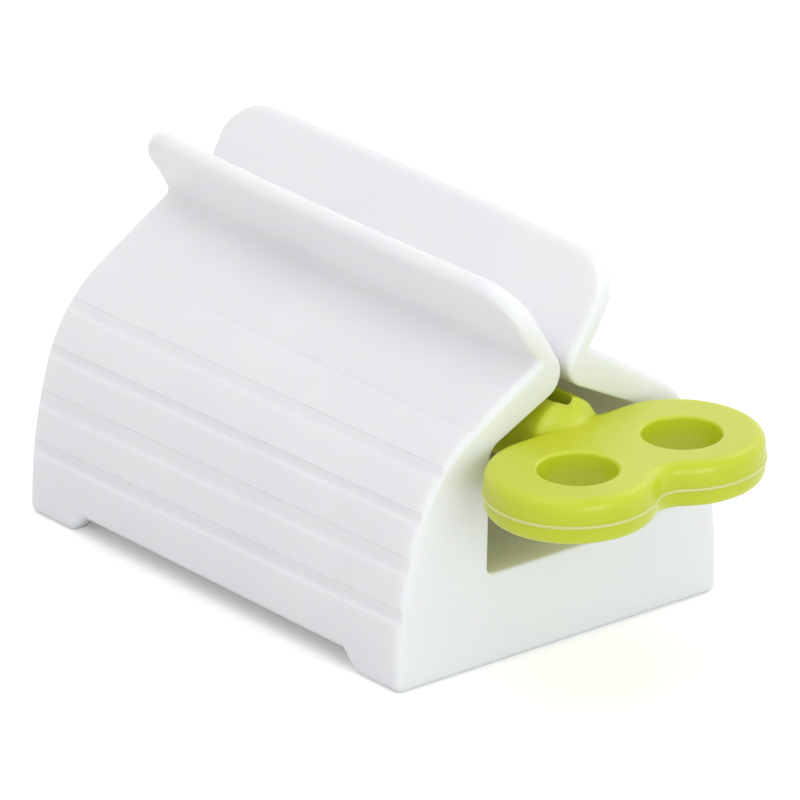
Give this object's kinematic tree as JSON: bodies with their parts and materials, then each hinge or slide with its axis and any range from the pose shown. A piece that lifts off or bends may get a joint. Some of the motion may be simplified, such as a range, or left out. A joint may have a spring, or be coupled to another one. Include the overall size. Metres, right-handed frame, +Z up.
{
  "type": "toothpaste tube squeezer",
  "caption": "Bell-shaped tube squeezer with a flared slot, grooved walls and a winding key whose split shaft turns under the slot.",
  "frame": {"origin": "under the middle of the whole object, on the surface that it stands on", "axes": "+X along the key's axis, from the bearing end to the handle; +Y across the body; +Z up"},
  "size_m": [0.0952, 0.0524, 0.0488],
  "materials": {
    "white_plastic": "satin moulded",
    "lime_plastic": "satin moulded, slightly translucent"
  },
  "bodies": {
    "body": {"squeezer_body": "white_plastic"},
    "key": {"winding_key": "lime_plastic"}
  },
  "joints": [
    {"name": "key_turn", "type": "hinge", "parent": "body", "child": "key", "pos_m": [0, 0, 0.0276], "axis": [1, 0, 0], "continuous": true}
  ]
}
